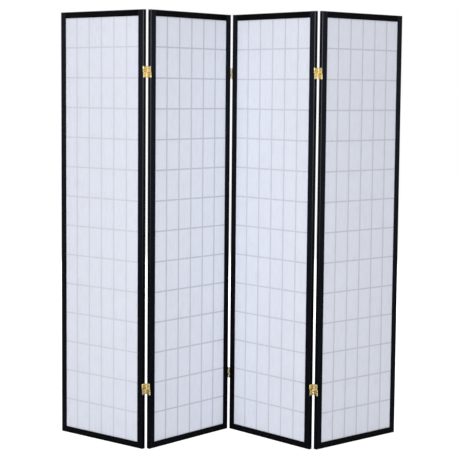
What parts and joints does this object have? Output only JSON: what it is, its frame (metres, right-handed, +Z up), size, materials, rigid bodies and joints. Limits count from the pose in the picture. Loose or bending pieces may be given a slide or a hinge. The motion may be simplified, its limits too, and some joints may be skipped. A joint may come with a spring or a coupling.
{
  "type": "folding screen",
  "caption": "Tall folding room screen in a zigzag: slim black wooden frames around paper panels backed by a fine lattice, joined by brass two-way hinges.",
  "frame": {"origin": "centre of the footprint's box, on the floor", "axes": "+Z up, +X from left to right along the screen seen from the front, -Y towards the viewer in front"},
  "size_m": [1.431, 0.328, 1.784],
  "materials": {
    "frame_wood": "satin black lacquer",
    "lattice_wood": "matt black lacquer",
    "paper": "matt fibre paper, translucent",
    "hinge_leaf": "bright pale brass plating",
    "hinge_link": "polished brass plating",
    "hinge_pin": "drawn brass-plated steel wire",
    "hinge_screw": "brass-plated steel"
  },
  "bodies": {
    "panel_1": {"panel_1_left_stile": "frame_wood", "panel_1_right_stile": "frame_wood", "panel_1_top_rail": "frame_wood", "panel_1_bottom_rail": "frame_wood", "panel_1_lattice_uprights": "lattice_wood", "panel_1_lattice_cross_bars": "lattice_wood", "panel_1_paper": "paper", "hinges_1_2_left_leaves": "hinge_leaf", "hinges_1_2_left_pins": "hinge_pin", "hinges_1_2_left_screws": "hinge_screw", "hinges_1_2_upper_links": "hinge_link"},
    "panel_2": {"panel_2_left_stile": "frame_wood", "panel_2_right_stile": "frame_wood", "panel_2_top_rail": "frame_wood", "panel_2_bottom_rail": "frame_wood", "panel_2_lattice_uprights": "lattice_wood", "panel_2_lattice_cross_bars": "lattice_wood", "panel_2_paper": "paper", "hinges_1_2_right_leaves": "hinge_leaf", "hinges_1_2_right_pins": "hinge_pin", "hinges_1_2_right_screws": "hinge_screw", "hinges_1_2_lower_links": "hinge_link", "hinges_2_3_left_leaves": "hinge_leaf", "hinges_2_3_left_pins": "hinge_pin", "hinges_2_3_left_screws": "hinge_screw", "hinges_2_3_lower_links": "hinge_link"},
    "panel_3": {"panel_3_left_stile": "frame_wood", "panel_3_right_stile": "frame_wood", "panel_3_top_rail": "frame_wood", "panel_3_bottom_rail": "frame_wood", "panel_3_lattice_uprights": "lattice_wood", "panel_3_lattice_cross_bars": "lattice_wood", "panel_3_paper": "paper", "hinges_2_3_right_leaves": "hinge_leaf", "hinges_2_3_right_pins": "hinge_pin", "hinges_2_3_right_screws": "hinge_screw", "hinges_2_3_upper_links": "hinge_link", "hinges_3_4_left_leaves": "hinge_leaf", "hinges_3_4_left_pins": "hinge_pin", "hinges_3_4_left_screws": "hinge_screw", "hinges_3_4_upper_links": "hinge_link"},
    "panel_4": {"panel_4_left_stile": "frame_wood", "panel_4_right_stile": "frame_wood", "panel_4_top_rail": "frame_wood", "panel_4_bottom_rail": "frame_wood", "panel_4_lattice_uprights": "lattice_wood", "panel_4_lattice_cross_bars": "lattice_wood", "panel_4_paper": "paper", "hinges_3_4_right_leaves": "hinge_leaf", "hinges_3_4_right_pins": "hinge_pin", "hinges_3_4_right_screws": "hinge_screw", "hinges_3_4_lower_links": "hinge_link"}
  },
  "joints": [
    {"name": "fold_1_2", "type": "hinge", "parent": "panel_1", "child": "panel_2", "pos_m": [-0.34255, -0.14231, 0.892], "axis": [0, 0, 1], "range_deg": [-78.5, 100.5]},
    {"name": "fold_2_3", "type": "hinge", "parent": "panel_2", "child": "panel_3", "pos_m": [0, 0.14431, 0.892], "axis": [0, 0, 1], "range_deg": [-93, 86]},
    {"name": "fold_3_4", "type": "hinge", "parent": "panel_3", "child": "panel_4", "pos_m": [0.34255, -0.14231, 0.892], "axis": [0, 0, 1], "range_deg": [-78.5, 100.5]}
  ]
}
